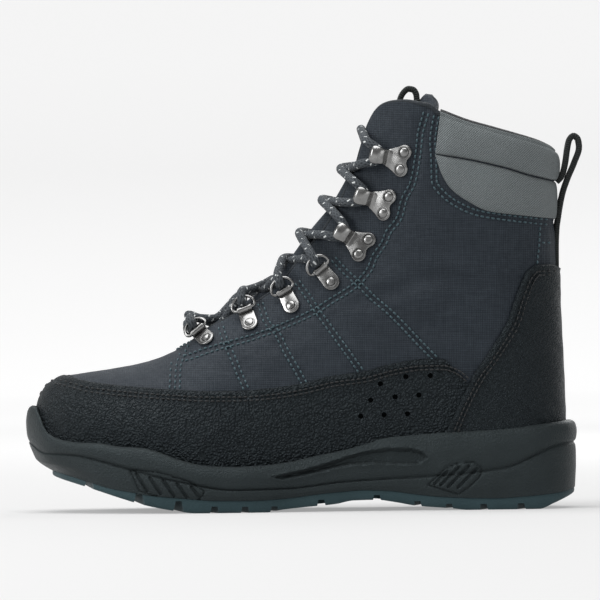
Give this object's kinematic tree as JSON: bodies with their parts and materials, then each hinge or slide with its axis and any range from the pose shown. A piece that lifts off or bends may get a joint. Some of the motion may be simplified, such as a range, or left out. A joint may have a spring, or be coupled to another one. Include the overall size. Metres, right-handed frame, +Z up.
{
  "type": "lace-up wading boot",
  "caption": "Lace-up wading boot for the left foot with a lugged rubber sole, canvas upper, black rand, padded collar, D-rings and speed hooks.",
  "frame": {"origin": "on the floor, in the middle of the boot's length and width", "axes": "+X towards the heel, +Y towards the inner side of the foot, +Z up"},
  "size_m": [0.3207, 0.1117, 0.2434],
  "materials": {
    "slate_rubber": "matt, moulded",
    "charcoal_midsole": "satin, finely pebbled",
    "dark_lining": "matt",
    "navy_canvas": "matt, woven",
    "black_rubberised": "pebbled, low sheen",
    "grey_knit": "matt twill knit",
    "black_webbing": "matt, woven",
    "nickel": "bright nickel plate",
    "grey_cord": "braided, matt"
  },
  "bodies": {
    "root": {"outsole": "slate_rubber", "midsole": "charcoal_midsole", "insole": "dark_lining", "upper": "navy_canvas", "toe_rand": "black_rubberised", "heel_counter": "black_rubberised", "collar_pad": "grey_knit", "collar_band": "grey_knit", "tongue": "navy_canvas", "heel_loop": "black_webbing", "tongue_loop": "black_webbing", "lace_clip_outer_1": "nickel", "lace_clip_outer_2": "nickel", "lace_clip_outer_3": "nickel", "lace_clip_outer_4": "nickel", "lace_clip_inner_1": "nickel", "lace_clip_inner_2": "nickel", "lace_clip_inner_3": "nickel", "lace_clip_inner_4": "nickel", "d_ring_outer_1": "nickel", "d_ring_outer_2": "nickel", "d_ring_outer_3": "nickel", "d_ring_outer_4": "nickel", "d_ring_inner_1": "nickel", "d_ring_inner_2": "nickel", "d_ring_inner_3": "nickel", "d_ring_inner_4": "nickel", "speed_hook_outer_1": "nickel", "speed_hook_outer_2": "nickel", "speed_hook_outer_3": "nickel", "speed_hook_inner_1": "nickel", "speed_hook_inner_2": "nickel", "speed_hook_inner_3": "nickel", "lace_bar": "grey_cord", "lace_crossing_1": "grey_cord", "lace_crossing_2": "grey_cord", "lace_crossing_3": "grey_cord", "lace_crossing_4": "grey_cord", "lace_crossing_5": "grey_cord", "lace_crossing_6": "grey_cord"}
  },
  "joints": []
}
